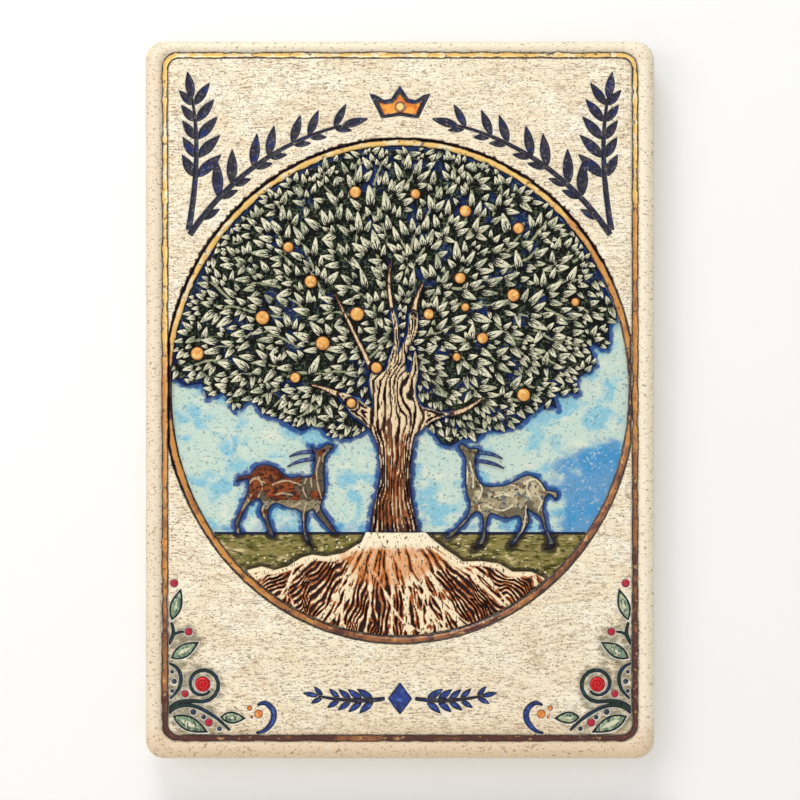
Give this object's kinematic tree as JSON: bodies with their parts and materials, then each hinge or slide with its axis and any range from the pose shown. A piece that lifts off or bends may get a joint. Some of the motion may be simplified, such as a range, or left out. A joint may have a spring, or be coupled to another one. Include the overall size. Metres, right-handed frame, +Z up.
{
  "type": "ceramic wall plaque",
  "caption": "Fired-clay wall plaque with a tree of life, deer and roots in coloured relief inside a gold-lined oval, vine corners, and a hinged hanging ring in its hollow back.",
  "frame": {"origin": "centre of the back, in the plane of the foot that rests on the wall", "axes": "+Z up along the plaque's height, +X to the right as seen from the front, +Y into the wall; the face looks along -Y"},
  "size_m": [0.149, 0.012, 0.21],
  "materials": {
    "clay": "fired cream slip, matt, with a brown wash rubbed into its brushed grain",
    "gold_lustre": "fired gold lustre, worn, brown at its edges",
    "blue_slip": "blue glaze wash over cream slip, speckled",
    "olive_slip": "olive glaze wash over cream slip",
    "root_slip": "cream slip with brown-violet wash in its grooves",
    "bark_slip": "cream slip ridges with brown wash between",
    "dark_green_glaze": "dark green and blue glaze wash",
    "leaf_slip": "cream slip wiped clean of a green wash",
    "gold_glaze": "amber gold glaze",
    "brown_slip": "red-brown wash, mottled",
    "tan_slip": "cream slip with brown mottling",
    "navy_glaze": "dark blue glaze pooled in a carved stroke",
    "blue_glaze": "blue glaze pooled in a carved stroke",
    "orange_glaze": "orange glaze",
    "green_glaze": "grey-green glaze with a dark edge",
    "stem_glaze": "green-black glaze line",
    "red_glaze": "crimson glaze",
    "sheet_metal": "rolled sheet, satin",
    "ring_brass": "drawn wire, dull"
  },
  "bodies": {
    "plaque": {"slab": "clay", "frame_line": "gold_lustre", "medallion_line": "gold_lustre", "sky_slip": "blue_slip", "grass_slip": "olive_slip", "roots": "root_slip", "trunk": "bark_slip", "bough_left": "bark_slip", "bough_right": "bark_slip", "bough_centre": "bark_slip", "bough_upper": "bark_slip", "bough_outer": "bark_slip", "foliage": "dark_green_glaze", "leaves_left": "leaf_slip", "leaves_right": "leaf_slip", "leaves_top": "leaf_slip", "fruit": "gold_glaze", "deer_left": "brown_slip", "deer_left_horns": "navy_glaze", "deer_right": "tan_slip", "deer_right_horns": "navy_glaze", "crown_rim": "navy_glaze", "crown_fill": "orange_glaze", "crown_jewel": "gold_glaze", "sprig_left": "navy_glaze", "sprig_left_leaves": "navy_glaze", "sprig_right": "navy_glaze", "sprig_right_leaves": "navy_glaze", "foot_sprig": "navy_glaze", "foot_leaves": "navy_glaze", "foot_lozenge": "blue_glaze", "vine_left": "stem_glaze", "vine_left_leaves": "green_glaze", "berries_left": "red_glaze", "seeds_left": "navy_glaze", "rosette_left": "red_glaze", "blossom_left": "orange_glaze", "tendril_left": "blue_glaze", "vine_right": "stem_glaze", "vine_right_leaves": "green_glaze", "berries_right": "red_glaze", "seeds_right": "navy_glaze", "rosette_right": "red_glaze", "blossom_right": "orange_glaze", "tendril_right": "blue_glaze", "hanger_disc": "sheet_metal", "hanger_strap": "sheet_metal"},
    "ring": {"hanging_ring": "ring_brass"}
  },
  "joints": [
    {"name": "ring_swing", "type": "hinge", "parent": "plaque", "child": "ring", "pos_m": [0, -0.00184, 0.062], "axis": [1, 0, 0], "range_deg": [0, 180]}
  ]
}
